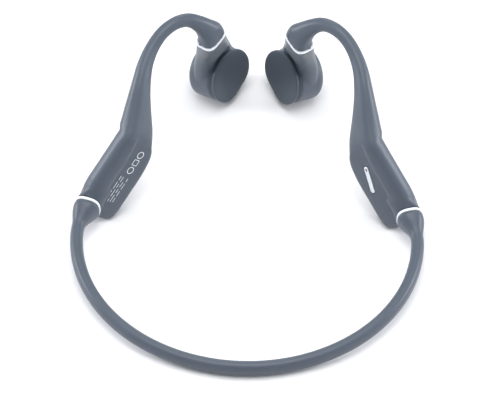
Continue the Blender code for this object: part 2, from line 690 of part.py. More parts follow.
DRUM_FRONT = PAD_THICK + PAD_TRAVEL_GAP
DRUM_BACK = DRUM_FRONT + DRUM_DEPTH


def drum_rings(side):
    edge = DRUM_RADIUS - DRUM_FACE_RADIUS
    shape = [(DRUM_FRONT + depth, DRUM_RADIUS - DRUM_LIP) for depth in (0.0, DRUM_LIP_ENDS)]
    shape.append((DRUM_FRONT + DRUM_FULL_FROM, DRUM_RADIUS))
    for k in range(5):
        turn = math.pi / 2 * k / 4
        shape.append((DRUM_BACK - edge + edge * math.sin(turn), DRUM_FACE_RADIUS + edge * math.cos(turn)))
    return [pod_ring_of_points(depth, radius, side) for depth, radius in shape]


def pod(side, prefix):
    """The drum and the neck that spreads to it from the white ring as one shell, open behind the pad."""
    shell = loft(prefix + "pod_shell", drum_rings(side), SILICONE)
    top = seam_frame(RING_THICK / 2 + FIT_GAP)
    neck = hook_rings([top])
    for up, across, half_wide, front, back, squareness in NECK_STATIONS:
        half_deep = (back - front) / 2 * MM
        centre = pod_point((front + back) / 2 * MM, across * MM, up * MM)
        neck.append(section(centre, -PAD_SIDEWAYS, PAD_LOOK, half_wide * MM, half_deep, squareness))
    neck = [mirrored(ring, side) for ring in neck]
    cut(shell, loft(prefix + "neck", neck, SILICONE, collection=cutters), "UNION")
    depths = (DRUM_FRONT - 1.0 * MM, DRUM_BACK - DRUM_FLOOR)
    hollow = [pod_ring_of_points(depth, DRUM_BORE, side) for depth in depths]
    cut(shell, loft(prefix + "pod_hollow", hollow, SILICONE, collection=cutters))
    radius = PAD_RADIUS + PAD_SIDE_GAP
    seat = [pod_ring_of_points(depth, radius, side) for depth in (-SEAT_REACH, DRUM_FRONT)]
    cut(shell, loft(prefix + "pad_seat", seat, SILICONE, collection=cutters))
    way = []
    _, heading, across, inwards, *_ = top
    for centre in (top[0] - heading * RING_THICK, top[0] + heading * RING_THICK, pod_point(POD_WAY_DEPTH)):
        way.append(mirrored(section(centre, across, inwards, HOOK_BORE, HOOK_BORE), side))
    cut(shell, loft(prefix + "pod_way", way, SILICONE, collection=cutters))
    return shell


def transducer(side, prefix):
    """The pad and its motor, one behind the other along the pad's axis."""
    axes = mirrored_axes(PAD_AXES, side)

    def at(depth):
        return mirrored([pod_point(depth)], side)[0]

    moving = []
    edge = 0.4 * MM
    outline = ((0.0, -edge), (edge, 0.0), (PAD_THICK - edge, 0.0), (PAD_THICK, -edge))
    rings = [pod_ring_of_points(depth, PAD_RADIUS + grow, side) for depth, grow in outline]
    moving.append(loft(prefix + "pad", rings, PAD_SKIN))
    carrier = PAD_THICK + FIT_GAP
    middle = at(carrier + CARRIER_THICK / 2)
    moving.append(disc(prefix + "pad_carrier", middle, axes, CARRIER_RADIUS, CARRIER_THICK, PLASTIC))
    coil = carrier + CARRIER_THICK + FIT_GAP
    half = COIL_LENGTH / 2
    tube = ((COIL_INNER, -half), (COIL_OUTER, -half), (COIL_OUTER, half), (COIL_INNER, half))
    moving.append(turned(prefix + "voice_coil", at(coil + half), axes, tube, COPPER))

    flexure = coil + FIT_GAP
    half = FLEXURE_THICK / 2
    hole = COIL_OUTER + 2 * FIT_GAP
    plate = ((hole, -half), (YOKE_RADIUS, -half), (YOKE_RADIUS, half), (hole, half))
    turned(prefix + "flexure_plate", at(flexure + half), axes, plate, STEEL)
    yoke = flexure + FLEXURE_THICK + FIT_GAP
    cup = (
        (YOKE_HOLE, -YOKE_DEPTH),
        (YOKE_RADIUS, -YOKE_DEPTH),
        (YOKE_RADIUS, 0.0),
        (YOKE_BORE, 0.0),
        (YOKE_BORE, YOKE_FLOOR - YOKE_DEPTH),
        (YOKE_HOLE, YOKE_FLOOR - YOKE_DEPTH),
    )
    turned(prefix + "transducer_yoke", at(yoke), axes, cup, STEEL)
    magnet = yoke + YOKE_DEPTH - YOKE_FLOOR - FIT_GAP - MAGNET_THICK / 2
    disc(prefix + "magnet", at(magnet), axes, MAGNET_RADIUS, MAGNET_THICK, SILVER)
    return moving, yoke + YOKE_DEPTH


def inner_wires(side, prefix, loop_centres, frames):
    """The sprung wires and the cables of one arm, from the split to the pod."""
    wire_lift = WIRE_RADIUS + WIRE_CLEARANCE
    cable_lift = CABLE_RADIUS + WIRE_CLEARANCE
    centre, heading, _, _ = sleeve_frame(BOOT_ANGLE)
    inside = centre + heading * WIRE_INTO_SLAB
    approach = slab_point(*WIRE_APPROACH)
    anchor_low = slab_point(ANCHOR_LOW, WIRE_BACK)
    anchor_high = slab_point(ANCHOR_HIGH, WIRE_BACK)
    beside = SLAB_IN * CABLE_IN + SLAB_BACK * CABLE_BACK

    route = [p - LOOP_NORMAL * wire_lift for p in [*loop_centres, inside]] + [approach, anchor_low]
    wire(prefix + "side_wire", mirrored(route, side), WIRE_RADIUS, TITANIUM)
    route = [p + LOOP_NORMAL * cable_lift for p in [*loop_centres, inside]]
    route += [approach + SLAB_BACK * CABLE_STEP, anchor_low + beside]
    wire(prefix + "side_cable", mirrored(route, side), CABLE_RADIUS, CABLE_SKIN)

    turn_in = slab_point(*WIRE_TURN_IN)
    leave = slab_point(WIRE_LEAVE, SHOULDER_BACK)
    apart = SLAB_IN * wire_lift
    route = [anchor_high, turn_in - apart, leave - apart]
    route += [c - across * wire_lift for c, _, across, *_ in frames]
    wire(prefix + "hook_wire", mirrored(route, side), WIRE_RADIUS, TITANIUM)
    route = [anchor_high + beside, turn_in + apart, leave + apart]
    route += [c + across * cable_lift for c, _, across, *_ in frames]
    pod_end = seam_frame(RING_THICK)
    route.append(pod_end[0] + pod_end[2] * cable_lift + SEAM_HEADING * CABLE_INTO_POD)
    wire(prefix + "hook_cable", mirrored(route, side), CABLE_RADIUS, CABLE_SKIN)


def wire_anchor(side, prefix):
    """The clamp between the ends of both sprung wires inside the housing."""
    centre = slab_point((ANCHOR_LOW + ANCHOR_HIGH) / 2, WIRE_BACK)
    size = (ANCHOR_HIGH - ANCHOR_LOW - 2 * FIT_GAP, ANCHOR_WIDTH, ANCHOR_THICK)
    axes = mirrored_axes(SLAB_AXES, side)
    block(prefix + "wire_anchor", mirrored([centre], side)[0], axes, size, STEEL)


def pivot(name, place, parent=None):
    empty = bpy.data.objects.new(name, None)
    empty.empty_display_size = 5 * MM
    parts.objects.link(empty)
    empty.location = place
    bpy.context.view_layer.update()
    if parent:
        attach([empty], parent)
    return empty


def attach(items, parent):
    """Hang objects from a parent without moving them."""
    bpy.context.view_layer.update()
    for item in items:
        item.parent = parent
        item.matrix_parent_inverse = parent.matrix_world.inverted()


def left_inside(side, shell, yoke_back):
    axes = mirrored_axes(SLAB_AXES, side)
    cell = mirrored([slab_point(LAYER_PLACE, LAYER_BACK, BATTERY_DEPTH)], side)[0]
    block("battery", cell, axes, BATTERY, FOIL, 0.5 * MM)
    above = BATTERY_DEPTH + (BATTERY[2] + BATTERY_BOARD[2]) / 2 + FIT_GAP
    board = mirrored([slab_point(LAYER_PLACE, LAYER_BACK, above)], side)[0]
    block("battery_board", board, axes, BATTERY_BOARD, BOARD_GREEN)
    return pod_button(side, shell, yoke_back)


def pod_button(side, shell, yoke_back):
    """The multifunction button in the pod's outer face, with its switch behind it."""
    axes = mirrored_axes(PAD_AXES, side)

    def at(depth):
        return mirrored([pod_point(depth)], side)[0]

    name = "multifunction_button"
    radius = POD_BUTTON_RADIUS + FIT_GAP
    cut(shell, disc(name + "_hole", at(DRUM_BACK), axes, radius, CUT_DEPTH, SILICONE, cutters))
    middle = DRUM_BACK + BUTTON_PROUD - POD_BUTTON_HEIGHT / 2
    button = disc(name, at(middle), axes, POD_BUTTON_RADIUS, POD_BUTTON_HEIGHT, SILICONE)
    bevel(button, 0.4 * MM)
    board = yoke_back + FIT_GAP + BUTTON_BOARD[2] / 2
    block("button_board", at(board), axes, BUTTON_BOARD, BOARD_GREEN)
    switch_low = board + BUTTON_BOARD[2] / 2 + FIT_GAP
    switch_high = middle - POD_BUTTON_HEIGHT / 2 - SWITCH_GAP
    height = switch_high - switch_low
    block("button_switch", at(switch_low + height / 2), axes, (SWITCH_WIDTH, SWITCH_WIDTH, height), STEEL)
    return [button]


def right_inside(side, cover):
    """The main board with what stands on it, and the contact strip with its magnets."""
    axes = mirrored_axes(SLAB_AXES, side)

    def at(along, back, inwards):
        return mirrored([slab_point(along, back, inwards)], side)[0]

    block("main_board", at(LAYER_PLACE, LAYER_BACK, BOARD_DEPTH), axes, BOARD, BOARD_GREEN)
    top = BOARD_DEPTH + BOARD[2] / 2 + FIT_GAP
    middle = at(SHIELD_PLACE, LAYER_BACK, top + SHIELD[2] / 2)
    block("bluetooth_shield", middle, axes, SHIELD, STEEL, 0.2 * MM)
    block("antenna", at(ANTENNA_PLACE, LAYER_BACK, top + ANTENNA[2] / 2), axes, ANTENNA, SILVER)

    lengthwise = SLAB_ALONG * math.cos(STRIP_TURN) + SLAB_BACK * math.sin(STRIP_TURN)
    axes = mirrored_axes((lengthwise, SLAB_IN.cross(lengthwise), SLAB_IN), side)
    face = SLAB_FACE * SLAB_HALF_THICK
    middle = face - STRIP_THICK / 2 + STRIP_PROUD
    hole_size = (STRIP_LENGTH + 2 * FIT_GAP, STRIP_WIDTH + 2 * FIT_GAP, CUT_DEPTH)
    hole_middle = at(STRIP_PLACE, STRIP_BACK, face)
    cut(cover, stadium("strip_hole", hole_middle, axes, *hole_size, SILICONE, cutters))
    strip_size = (STRIP_LENGTH, STRIP_WIDTH, STRIP_THICK)
    stadium("charging_strip", at(STRIP_PLACE, STRIP_BACK, middle), axes, *strip_size, SILVER)
    below = middle - STRIP_THICK / 2 - FIT_GAP - CHARGING_MAGNETS[2] / 2
    block("charging_magnets", at(STRIP_PLACE, STRIP_BACK, below), axes, CHARGING_MAGNETS, SILVER)


def volume_button(side, shell, name, along):
    """A button in the slab's front edge, with its switch on the inside."""
    outward = -SLAB_BACK
    axes = mirrored_axes((SLAB_ALONG, SLAB_IN, outward), side)

    def at(back):
        return mirrored([slab_point(along, back)], side)[0]

    hole = stadium(
        name + "_hole",
        at(-SLAB_HALF_WIDTH),
        axes,
        BUTTON_LENGTH + 2 * FIT_GAP,
        BUTTON_WIDTH + 2 * FIT_GAP,
        CUT_DEPTH,
        SILICONE,
        cutters,
    )
    cut(shell, hole)
    middle = -(SLAB_HALF_WIDTH + BUTTON_PROUD - BUTTON_HEIGHT / 2)
    return stadium(name, at(middle), axes, BUTTON_LENGTH, BUTTON_WIDTH, BUTTON_HEIGHT, SILICONE)


def arm(side, prefix):
    loop_centres = side_sleeve(side, prefix)
    ring_end, heading, sideways = boot_ring(side, prefix)
    shell, cover = housing(side, prefix, ring_end, heading, sideways)
    frames = hook(side, prefix)
    pod_ring(side, prefix)
    pod_shell = pod(side, prefix)
    moving, yoke_back = transducer(side, prefix)
    inner_wires(side, prefix, loop_centres, frames)
    wire_anchor(side, prefix)
    pressed = []
    if side < 0:
        pressed += left_inside(side, pod_shell, yoke_back)
    else:
        right_inside(side, cover)
        pressed.append(volume_button(side, shell, "volume_down_button", VOLUME_DOWN_PLACE))
        pressed.append(volume_button(side, shell, "volume_up_button", VOLUME_UP_PLACE))
    return moving, pressed


neckband_sleeve()
for side, prefix in ((1, "right_"), (-1, "left_")):
    made_before = set(parts.objects)
    moving, pressed = arm(side, prefix)
    centre, heading = loop_point(HINGE_ANGLE)
    outwards = heading.cross(LOOP_NORMAL) * SLEEVE_HALF_WIDE
    hinge = pivot(prefix + "arm_pivot", mirrored([centre + outwards], side)[0])
    pad_pivot = pivot(prefix + "pad_pivot", mirrored([PAD_CENTRE], side)[0], hinge)
    attach(moving, pad_pivot)
    still = [item for item in parts.objects if item not in made_before and item.type != "EMPTY"]
    attach([item for item in still if item not in moving], hinge)
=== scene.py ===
import math

import bmesh
import bpy
from mathutils import Matrix, Vector


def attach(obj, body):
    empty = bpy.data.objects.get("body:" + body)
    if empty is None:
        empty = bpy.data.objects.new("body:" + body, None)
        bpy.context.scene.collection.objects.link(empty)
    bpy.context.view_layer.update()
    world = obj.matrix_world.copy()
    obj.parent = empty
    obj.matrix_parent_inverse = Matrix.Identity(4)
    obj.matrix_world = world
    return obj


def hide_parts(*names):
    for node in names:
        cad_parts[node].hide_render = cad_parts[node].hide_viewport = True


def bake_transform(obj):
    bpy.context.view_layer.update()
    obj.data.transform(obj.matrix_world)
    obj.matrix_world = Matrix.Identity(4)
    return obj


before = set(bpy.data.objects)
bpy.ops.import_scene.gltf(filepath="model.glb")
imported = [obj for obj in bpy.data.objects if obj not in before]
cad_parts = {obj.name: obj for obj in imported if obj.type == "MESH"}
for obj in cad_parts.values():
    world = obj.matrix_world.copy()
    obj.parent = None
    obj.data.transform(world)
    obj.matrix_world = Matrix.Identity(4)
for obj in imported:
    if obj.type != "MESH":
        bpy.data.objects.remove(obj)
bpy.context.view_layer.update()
mm = 0.001
print("frame loaded:", len(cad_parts), "nodes")

camera = {
    "aim": (-0.0001, 0.0097, 0.0),  # the point of the floor in the middle of the picture
    "around": 2.5,  # degrees to the wearer's right of straight behind
    "above": 50.0,
    "distance": 3.028,
    "lens": 600.0,
}


def makeCamera():
    around = math.radians(camera["around"])
    above = math.radians(camera["above"])
    away = Vector(
        (math.sin(around) * math.cos(above), -math.cos(around) * math.cos(above), math.sin(above))
    )
    data = bpy.data.cameras.new("productCamera")
    data.lens = camera["lens"]
    data.clip_end = 20.0
    item = bpy.data.objects.new("productCamera", data)
    item.location = Vector(camera["aim"]) + away * camera["distance"]
    item.rotation_euler = (-away).to_track_quat("-Z", "Y").to_euler()
    bpy.context.scene.collection.objects.link(item)
    bpy.context.scene.camera = item


makeCamera()


# one function adds any node, with its settings and the links that run into it
def addNode(tree, kind, settings=None, links=None):
    node = tree.nodes.new(kind)
    for key, value in (settings or {}).items():
        if isinstance(key, str) and hasattr(node, key):
            setattr(node, key, value)
        else:
            node.inputs[key].default_value = value
    for key, source in (links or {}).items():
        tree.links.new(source, node.inputs[key])
    return node


def toLinear(hexColour):
    values = [int(hexColour[i : i + 2], 16) / 255 for i in (1, 3, 5)]
    return tuple(v / 12.92 if v <= 0.04045 else ((v + 0.055) / 1.055) ** 2.4 for v in values) + (1.0,)


def newMaterial(name):
    material = bpy.data.materials.new(name)
    material.use_nodes = True
    tree = material.node_tree
    return material, tree, tree.nodes["Principled BSDF"]


floor = {"size": 4.0, "colour": "#f7f7f8"}


def makeFloor():
    form = bmesh.new()
    bmesh.ops.create_grid(form, x_segments=8, y_segments=8, size=floor["size"] / 2)
    data = bpy.data.meshes.new("studioFloor")
    form.to_mesh(data)
    form.free()
    item = bpy.data.objects.new("studioFloor", data)
    bpy.context.scene.collection.objects.link(item)
    material, tree, shader = newMaterial("matt painted studio floor")
    shader.inputs["Base Color"].default_value = toLinear(floor["colour"])
    shader.inputs["Roughness"].default_value = 0.9
    data.materials.append(material)


makeFloor()

room = {"colour": "#f4f6fa", "strength": 0.5}
lights = [
    # name, place, size, power in watts, colour
    ("overheadSoftbox", (0.0, -0.05, 0.9), 0.6, 5.6, "#ffffff"),
    ("leftSoftbox", (-0.85, 0.12, 0.3), 0.3, 4.6, "#fbfcff"),
    ("rightSoftbox", (0.85, 0.12, 0.3), 0.3, 4.6, "#fbfcff"),
    ("frontSoftbox", (0.0, 0.9, 0.5), 0.5, 1.6, "#ffffff"),
]


def makeLights():
    for name, place, size, power, colour in lights:
        data = bpy.data.lights.new(name, "AREA")
        data.size = size
        data.energy = power
        data.color = toLinear(colour)[:3]
        item = bpy.data.objects.new(name, data)
        item.location = place
        item.rotation_euler = (-Vector(place)).to_track_quat("-Z", "Y").to_euler()
        bpy.context.scene.collection.objects.link(item)
    world = bpy.data.worlds.new("paleRoom")
    world.use_nodes = True
    sky = world.node_tree.nodes["Background"]
    sky.inputs["Color"].default_value = toLinear(room["colour"])
    sky.inputs["Strength"].default_value = room["strength"]
    bpy.context.scene.world = world


makeLights()
bpy.context.scene.view_settings.view_transform = "Standard"  # keeps the white floor white
print("camera, floor and light made")


# moulded soft-touch silicone: an even satin skin with a fine spark-eroded grain, and faint clouding from the mould
def softTouchSilicone(name, colour, cloudColour, roughness, grainMm, grainHeight):
    material, tree, shader = newMaterial(name)
    place = addNode(tree, "ShaderNodeTexCoord")
    clouds = addNode(
        tree,
        "ShaderNodeTexNoise",
        {"Scale": 1 / 0.018, "Detail": 3.0, "Roughness": 0.55},  # clouds 18 mm apart
        {"Vector": place.outputs["Object"]},
    )
    tint = addNode(
        tree,
        "ShaderNodeMix",
        {"data_type": "RGBA", 6: toLinear(colour), 7: toLinear(cloudColour)},
        {0: clouds.outputs["Fac"]},
    )
    tree.links.new(tint.outputs[2], shader.inputs["Base Color"])
    grain = addNode(
        tree,
        "ShaderNodeTexNoise",
        {"Scale": 1 / (grainMm * mm), "Detail": 2.0, "Roughness": 0.6},
        {"Vector": place.outputs["Object"]},
    )
    rough = addNode(
        tree,
        "ShaderNodeMapRange",
        {"From Min": 0.3, "From Max": 0.7, "To Min": roughness - 0.05, "To Max": roughness + 0.05},
        {"Value": grain.outputs["Fac"]},
    )
    tree.links.new(rough.outputs["Result"], shader.inputs["Roughness"])
    bump = addNode(
        tree, "ShaderNodeBump", {"Strength": 0.35, "Distance": grainHeight * mm}, {"Height": grain.outputs["Fac"]}
    )
    tree.links.new(bump.outputs["Normal"], shader.inputs["Normal"])
    shader.inputs["IOR"].default_value = 1.43
    shader.inputs["Specular IOR Level"].default_value = 0.42
    shader.inputs["Sheen Weight"].default_value = 0.06
    shader.inputs["Sheen Roughness"].default_value = 0.4
    return material


silicone = softTouchSilicone("moulded soft-touch silicone", "#505863", "#565f6b", 0.4, 0.35, 0.02)
padSilicone = softTouchSilicone("moulded matt silicone pad", "#474f59", "#4d5661", 0.52, 0.3, 0.02)
keySilicone = softTouchSilicone("moulded silicone key", "#565e69", "#5c6570", 0.48, 0.3, 0.015)


# injection-moulded polycarbonate: a clean white with a soft gloss and a slight orange peel
def mouldedPolycarbonate(name, colour, roughness):
    material, tree, shader = newMaterial(name)
    place = addNode(tree, "ShaderNodeTexCoord")
    peel = addNode(
        tree, "ShaderNodeTexNoise", {"Scale": 1 / 0.0012, "Detail": 1.0}, {"Vector": place.outputs["Object"]}
    )
    bump = addNode(
        tree, "ShaderNodeBump", {"Strength": 0.2, "Distance": 0.01 * mm}, {"Height": peel.outputs["Fac"]}
    )
    tree.links.new(bump.outputs["Normal"], shader.inputs["Normal"])
    shader.inputs["Base Color"].default_value = toLinear(colour)
    shader.inputs["Roughness"].default_value = roughness
    shader.inputs["IOR"].default_value = 1.58
    return material


whitePolycarbonate = mouldedPolycarbonate("moulded white polycarbonate", "#f3f6fb", 0.3)
blackAbs = mouldedPolycarbonate("moulded black ABS", "#1b1c1f", 0.45)


# drawn, brushed or plated metal: fine lines left by the die or the brush, seen as streaks in its shine
def workedMetal(name, colour, roughness, lineMm, stretch):
    material, tree, shader = newMaterial(name)
    place = addNode(tree, "ShaderNodeTexCoord")
    turn = addNode(tree, "ShaderNodeMapping", {"Scale": stretch}, {"Vector": place.outputs["Object"]})
    lines = addNode(
        tree,
        "ShaderNodeTexNoise",
        {"Scale": 1 / (lineMm * mm), "Detail": 4.0},
        {"Vector": turn.outputs["Vector"]},
    )
    rough = addNode(
        tree,
        "ShaderNodeMapRange",
        {"To Min": roughness - 0.08, "To Max": roughness + 0.1},
        {"Value": lines.outputs["Fac"]},
    )
    tree.links.new(rough.outputs["Result"], shader.inputs["Roughness"])
    bump = addNode(
        tree, "ShaderNodeBump", {"Strength": 0.25, "Distance": 0.006 * mm}, {"Height": lines.outputs["Fac"]}
    )
    tree.links.new(bump.outputs["Normal"], shader.inputs["Normal"])
    shader.inputs["Base Color"].default_value = toLinear(colour)
    shader.inputs["Metallic"].default_value = 1.0
    return material


drawnTitanium = workedMetal("drawn nickel titanium wire", "#a5a19a", 0.3, 0.3, (1.0, 0.08, 1.0))
platedSteel = workedMetal("nickel-plated pressed steel", "#b4b3ae", 0.28, 0.25, (1.0, 1.0, 0.2))
satinSilver = workedMetal("satin silver plating", "#dfe3e8", 0.34, 0.2, (1.0, 0.15, 1.0))


# the other finishes inside: copper winding, solder mask, pouch foil and cable jacket
def copperWinding():
    material, tree, shader = newMaterial("wound enamelled copper")
    place = addNode(tree, "ShaderNodeTexCoord")
    turns = addNode(
        tree,
        "ShaderNodeTexWave",
        {"bands_direction": "Z", "Scale": 1 / (0.2 * mm) / 20, "Distortion": 0.3},
        {"Vector": place.outputs["Object"]},
    )
    tint = addNode(
        tree,
        "ShaderNodeMix",
        {"data_type": "RGBA", 6: toLinear("#7c3f1c"), 7: toLinear("#c9773f")},
        {0: turns.outputs["Fac"]},
    )
    tree.links.new(tint.outputs[2], shader.inputs["Base Color"])
    bump = addNode(
        tree, "ShaderNodeBump", {"Strength": 0.6, "Distance": 0.05 * mm}, {"Height": turns.outputs["Fac"]}
    )
    tree.links.new(bump.outputs["Normal"], shader.inputs["Normal"])
    shader.inputs["Metallic"].default_value = 1.0
    shader.inputs["Roughness"].default_value = 0.32
    return material


def solderMask():
    material, tree, shader = newMaterial("green solder mask on glass epoxy")
    place = addNode(tree, "ShaderNodeTexCoord")
    tracks = addNode(
        tree,
        "ShaderNodeTexVoronoi",
        {"distance": "MANHATTAN", "Scale": 1 / 0.0022},  # tracks 2.2 mm apart
        {"Vector": place.outputs["Object"]},
    )
    edge = addNode(
        tree, "ShaderNodeMapRange", {"From Min": 0.25, "From Max": 0.3}, {"Value": tracks.outputs["Distance"]}
    )
    tint = addNode(
        tree,
        "ShaderNodeMix",
        {"data_type": "RGBA", 6: toLinear("#1d5c3a"), 7: toLinear("#12402a")},
        {0: edge.outputs["Result"]},
    )
    tree.links.new(tint.outputs[2], shader.inputs["Base Color"])
    bump = addNode(
        tree, "ShaderNodeBump", {"Strength": 0.3, "Distance": 0.03 * mm}, {"Height": edge.outputs["Result"]}
    )
    tree.links.new(bump.outputs["Normal"], shader.inputs["Normal"])
    shader.inputs["Roughness"].default_value = 0.28
    shader.inputs["IOR"].default_value = 1.55
    return material


def pouchFoil():
    material, tree, shader = newMaterial("crinkled aluminium pouch foil")
    place = addNode(tree, "ShaderNodeTexCoord")
    crinkle = addNode(
        tree,
        "ShaderNodeTexNoise",
        {"Scale": 1 / 0.003, "Detail": 5.0, "Roughness": 0.7},  # creases 3 mm apart
        {"Vector": place.outputs["Object"]},
    )
    bump = addNode(
        tree, "ShaderNodeBump", {"Strength": 0.7, "Distance": 0.15 * mm}, {"Height": crinkle.outputs["Fac"]}
    )
    tree.links.new(bump.outputs["Normal"], shader.inputs["Normal"])
    shader.inputs["Base Color"].default_value = toLinear("#c4c6ca")
    shader.inputs["Metallic"].default_value = 1.0
    shader.inputs["Roughness"].default_value = 0.35
    return material


def screenInk():
    # screen-printed white ink: flat and slightly broken where the grain shows through
    material, tree, shader = newMaterial("screen-printed white ink")
    place = addNode(tree, "ShaderNodeTexCoord")
    wear = addNode(
        tree, "ShaderNodeTexNoise", {"Scale": 1 / 0.0005, "Detail": 3.0}, {"Vector": place.outputs["Object"]}
    )
    tint = addNode(
        tree,
        "ShaderNodeMix",
        {"data_type": "RGBA", 6: toLinear("#c9cfd6"), 7: toLinear("#f4f6f8")},
        {0: wear.outputs["Fac"]},
    )
    tree.links.new(tint.outputs[2], shader.inputs["Base Color"])
    shader.inputs["Roughness"].default_value = 0.6
    return material


copper = copperWinding()
board = solderMask()
foil = pouchFoil()
ink = screenInk()
jacket = mouldedPolycarbonate("extruded black cable jacket", "#17181a", 0.4)
# dark grey painted shade that stands for the small hole at the contact strip's upper end
holeShadeGrey = mouldedPolycarbonate("dark grey painted shade of a hole", "#3c434c", 0.6)
print("materials made")


flatFace = {
    "grooveAt": 0.2,  # share of the half width where the flat face meets the rounded back edge
    "grooveWide": 0.16,
    "groove": 0.16,
    "bulge": 0.14,
    "bulgeStart": 0.1,  # how far past the groove the back edge begins to rise
    "bulgeEase": 0.03,
    "backRound": 2.6,  # squareness of the back edge
    "sharp": 18.0,  # how crisply the flat is cut
    "none": 1.3,  # a face value for sections with no flat
    "ends": 1.25,  # from this value on the section is left whole
}


def ringAt(centre, across, through, halfAcross, halfThrough, squareness=2.0, face=None, count=56):
    power = 2.0 / squareness
    points = []
    for k in range(count):
        turn = 2 * math.pi * k / count
        c, s = math.cos(turn), math.sin(turn)
        a = math.copysign(abs(c) ** power, c)
        t = math.copysign(abs(s) ** power, s)
        if face:  # a flat inner side, a soft groove beside it and a rounder back edge
            if 0 < a < 0.999:
                rounder = (1 - a ** flatFace["backRound"]) ** (1 / flatFace["backRound"])
                t *= rounder / max((1 - a**squareness) ** (1 / squareness), 0.05)
            limit = face
            if face < 1:
                past = flatFace["grooveAt"] + flatFace["bulgeStart"] - a
                limit += flatFace["bulge"] / (1 + math.exp(past / flatFace["bulgeEase"]))
            sharp = flatFace["sharp"]
            t = -math.log(math.exp(-sharp * t) + math.exp(-sharp * limit)) / sharp
            if face < 1 and s > 0:
                t -= flatFace["groove"] * math.exp(-(((a - flatFace["grooveAt"]) / flatFace["grooveWide"]) ** 2))
        points.append(centre + across * (a * halfAcross) + through * (t * halfThrough))
    return points


def splineRows(rows, steps):
    ends = [[2 * a - b for a, b in zip(rows[0], rows[1])]]
    ends += [list(row) for row in rows]
    ends.append([2 * a - b for a, b in zip(rows[-1], rows[-2])])
    run = []
    for p0, p1, p2, p3 in zip(ends, ends[1:], ends[2:], ends[3:]):
        for k in range(steps):
            t = k / steps
            row = []
            for a, b, c, d in zip(p0, p1, p2, p3):
                curve = (2 * a - 5 * b + 4 * c - d) * t**2 + (3 * b - a - 3 * c + d) * t**3
                row.append(0.5 * (2 * b + (c - a) * t + curve))
            run.append(row)
    run.append(list(rows[-1]))
    return run


def addPiece(name, form, material):
    bmesh.ops.recalc_face_normals(form, faces=form.faces)
    data = bpy.data.meshes.new(name)
    form.to_mesh(data)
    form.free()
    item = bpy.data.objects.new(name, data)
    bpy.context.scene.collection.objects.link(item)
    data.materials.append(material)
    data.shade_smooth()
    return item


def skinPiece(name, rings, material, ends=(True, True)):
    form = bmesh.new()
    rows = [[form.verts.new(point) for point in ring] for ring in rings]
    for row, following in zip(rows, rows[1:]):
        for i in range(len(row)):
            j = (i + 1) % len(row)
            form.faces.new((row[i], row[j], following[j], following[i]))
    for row, closed in ((rows[0], ends[0]), (rows[-1], ends[1])):
        if closed:
            form.faces.new(row)
    return addPiece(name, form, material)


def ringPiece(name, rings, material):
    # a closed ring: the last row of points runs on into the first
    form = bmesh.new()
    rows = [[form.verts.new(point) for point in ring] for ring in rings]
    for row, following in zip(rows, rows[1:] + rows[:1]):
        for i in range(len(row)):
            j = (i + 1) % len(row)
            form.faces.new((row[i], row[j], following[j], following[i]))
    return addPiece(name, form, material)


def bake(item):
    view = bpy.context.evaluated_depsgraph_get()
    made = bpy.data.meshes.new_from_object(item.evaluated_get(view))
    item.modifiers.clear()
    item.data = made
    made.shade_smooth()
    return item


def gather(item, other):
    # puts the other's skin into the item's mesh, where the next melt makes them one
    form = bmesh.new()
    for part in (item, other):
        form.from_mesh(part.data)
    form.to_mesh(item.data)
    form.free()
    bpy.data.objects.remove(other, do_unlink=True)


def carve(item, others):
    for other in others:
        step = item.modifiers.new("carve", "BOOLEAN")
        step.operation = "DIFFERENCE"
        step.solver = "EXACT"
        step.object = other
    bake(item)
    for other in others:
        bpy.data.objects.remove(other, do_unlink=True)
    return item


def melt(item, voxel, rounds):
    remesh = item.modifiers.new("melt", "REMESH")
    remesh.mode = "VOXEL"
    remesh.voxel_size = voxel * mm
    ease = item.modifiers.new("ease", "SMOOTH")
    ease.factor = 0.5
    ease.iterations = rounds
    return bake(item)


def crease(item):
    item.data.set_sharp_from_angle(angle=math.radians(50))


def mirrorPoints(points, side):
    return [Vector((side * p.x, p.y, p.z)) for p in points]


loop = {
    "backY": -71.3,
    "backZ": 3.2,
    "tilt": 5.6,
    "halfWidth": 61.5,
    "depthBack": 54.6,
    "depthFront": 38.2,
    "bootAngle": 18.3,
    "hingeAngle": -36.0,
    "halfWide": 2.35,
    "halfTall": 2.9,
    "bootLength": 8.6,
    "squareness": 2.2,
    "bootHalfWide": 4.7,
    "bootHalfTall": 5.4,
    "bootSquareness": 2.7,
    "bootSkew": 12.0,  # degrees that the boot's end turns towards straight ahead
    "bend": 7.0,  # degrees either side of the hinge over which the skin bends
}
tilt = math.radians(loop["tilt"])
loopNormal = Vector((0.0, -math.sin(tilt), math.cos(tilt)))


def loopPoint(degrees):
    angle = math.radians(degrees)
    depth = loop["depthBack"] if degrees < 0 else loop["depthFront"]
    along = loop["depthBack"] + depth * math.sin(angle)
    x = loop["halfWidth"] * math.cos(angle)
    centre = Vector((x, loop["backY"] + along * math.cos(tilt), loop["backZ"] + along * math.sin(tilt))) * mm
    slope = depth * math.cos(angle)
    heading = Vector((-loop["halfWidth"] * math.sin(angle), slope * math.cos(tilt), slope * math.sin(tilt)))
    return centre, heading.normalized()


def sleeveFrame(degrees):
    # the loop's centre, heading and sideways direction, and how far it has flared towards the boot
    centre, heading = loopPoint(degrees)
    left = max(0.0, 1 - (loopPoint(loop["bootAngle"])[0] - centre).length / (loop["bootLength"] * mm))
    flare = left * left * (3 - 2 * left)
    heading = Matrix.Rotation(-math.radians(loop["bootSkew"]) * flare, 3, loopNormal) @ heading
    return centre, heading, heading.cross(loopNormal), flare


